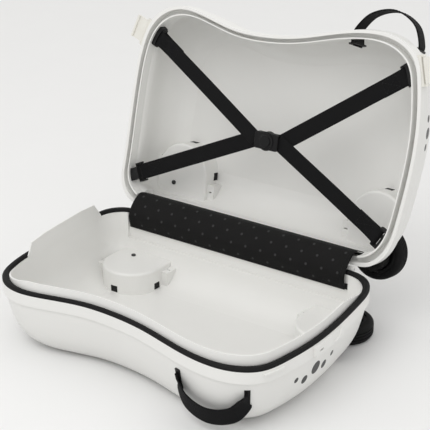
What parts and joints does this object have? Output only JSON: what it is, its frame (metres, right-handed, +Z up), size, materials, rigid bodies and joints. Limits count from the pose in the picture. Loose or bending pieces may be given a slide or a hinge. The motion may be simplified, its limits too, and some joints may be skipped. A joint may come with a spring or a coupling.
{
  "type": "ride-on suitcase",
  "caption": "Child's ride-on suitcase lying open: moulded half shells on a long hinge with a fabric cover, cross straps with a buckle, wheels, flap latches and webbing handles.",
  "frame": {"origin": "on the floor, at the middle of the flat belly of the base", "axes": "+X along the hinge towards the front end, +Y back towards the hinge and lid, +Z up"},
  "size_m": [0.5443, 0.5007, 0.4673],
  "materials": {
    "white_plastic": "satin moulded plastic",
    "cream_plastic": "satin moulded plastic",
    "black_plastic": "satin moulded plastic",
    "black_rubber": "matte rubber bead",
    "black_tyre": "matte rubber",
    "black_fabric": "plain woven cloth with small grey dots",
    "black_webbing": "ribbed woven webbing",
    "black_screw": "black screw",
    "steel": "bright steel"
  },
  "bodies": {
    "base": {"base_shell": "white_plastic", "rim_seal": "black_rubber", "hinge_pin": "steel", "hinge_cover": "black_fabric", "cover_strip_base": "black_plastic", "wheel_guard_base_rear": "black_plastic", "axle_base_rear": "steel", "axle_cap_base_rear": "black_plastic", "wheel_guard_base_front": "black_plastic", "axle_base_front": "steel", "axle_cap_base_front": "black_plastic", "guard_screws_base": "black_screw", "handle_base": "black_webbing", "handle_sleeves_base": "black_plastic", "handle_retainers_base": "black_plastic", "latch_keeper_rear": "white_plastic", "latch_keeper_front": "white_plastic", "catch_plate": "white_plastic"},
    "lid": {"lid_shell": "white_plastic", "cover_strip_lid": "black_plastic", "wheel_guard_lid_rear": "black_plastic", "axle_lid_rear": "steel", "axle_cap_lid_rear": "black_plastic", "wheel_guard_lid_front": "black_plastic", "axle_lid_front": "steel", "axle_cap_lid_front": "black_plastic", "guard_screws_lid": "black_screw", "handle_lid": "black_webbing", "handle_sleeves_lid": "black_plastic", "handle_retainers_lid": "black_plastic", "latch_plate_rear": "cream_plastic", "latch_pin_rear": "steel", "latch_screws_rear": "steel", "latch_plate_front": "cream_plastic", "latch_pin_front": "steel", "latch_screws_front": "steel", "strap_rear_upper": "black_webbing", "strap_anchor_rear_upper": "black_plastic", "strap_rear_lower": "black_webbing", "strap_anchor_rear_lower": "black_plastic", "strap_front_upper": "black_webbing", "strap_anchor_front_upper": "black_plastic", "strap_front_lower": "black_webbing", "strap_anchor_front_lower": "black_plastic", "buckle_body": "black_plastic", "button_spring": "steel"},
    "wheel_base_rear": {"hub_base_rear": "black_plastic", "tyre_base_rear": "black_tyre"},
    "wheel_base_front": {"hub_base_front": "black_plastic", "tyre_base_front": "black_tyre"},
    "wheel_lid_rear": {"hub_lid_rear": "black_plastic", "tyre_lid_rear": "black_tyre"},
    "wheel_lid_front": {"hub_lid_front": "black_plastic", "tyre_lid_front": "black_tyre"},
    "flap_rear": {"latch_flap_rear": "cream_plastic"},
    "flap_front": {"latch_flap_front": "cream_plastic"},
    "button": {"buckle_button": "black_plastic"}
  },
  "joints": [
    {"name": "lid_hinge", "type": "hinge", "parent": "base", "child": "lid", "pos_m": [0, 0.176, 0.102], "axis": [1, 0, 0], "range_deg": [0, 100], "deforming": ["hinge_cover"]},
    {"name": "wheel_base_rear_spin", "type": "hinge", "parent": "base", "child": "wheel_base_rear", "pos_m": [-0.182, 0.165, 0.014], "axis": [0, 0, 1], "continuous": true},
    {"name": "wheel_base_front_spin", "type": "hinge", "parent": "base", "child": "wheel_base_front", "pos_m": [0.182, 0.165, 0.014], "axis": [0, 0, 1], "continuous": true},
    {"name": "wheel_lid_rear_spin", "type": "hinge", "parent": "lid", "child": "wheel_lid_rear", "pos_m": [-0.182, 0.26457, 0.09755], "axis": [0, 0.9848, -0.1736], "continuous": true},
    {"name": "wheel_lid_front_spin", "type": "hinge", "parent": "lid", "child": "wheel_lid_front", "pos_m": [0.182, 0.26457, 0.09755], "axis": [0, 0.9848, -0.1736], "continuous": true},
    {"name": "flap_rear_turn", "type": "hinge", "parent": "lid", "child": "flap_rear", "pos_m": [-0.23952, 0.23444, 0.38157], "axis": [0.3457, 0.1629, 0.9241], "range_deg": [0, 90]},
    {"name": "flap_front_turn", "type": "hinge", "parent": "lid", "child": "flap_front", "pos_m": [0.25259, 0.23757, 0.39937], "axis": [0.2685, -0.1673, -0.9487], "range_deg": [0, 90]},
    {"name": "button_press", "type": "slide", "parent": "lid", "child": "button", "axis": [0, 0.9848, -0.1736], "range_m": [0, 0.0025], "stiffness_N_per_m": 800, "springref_m": -0.004, "deforming": ["button_spring"]}
  ]
}
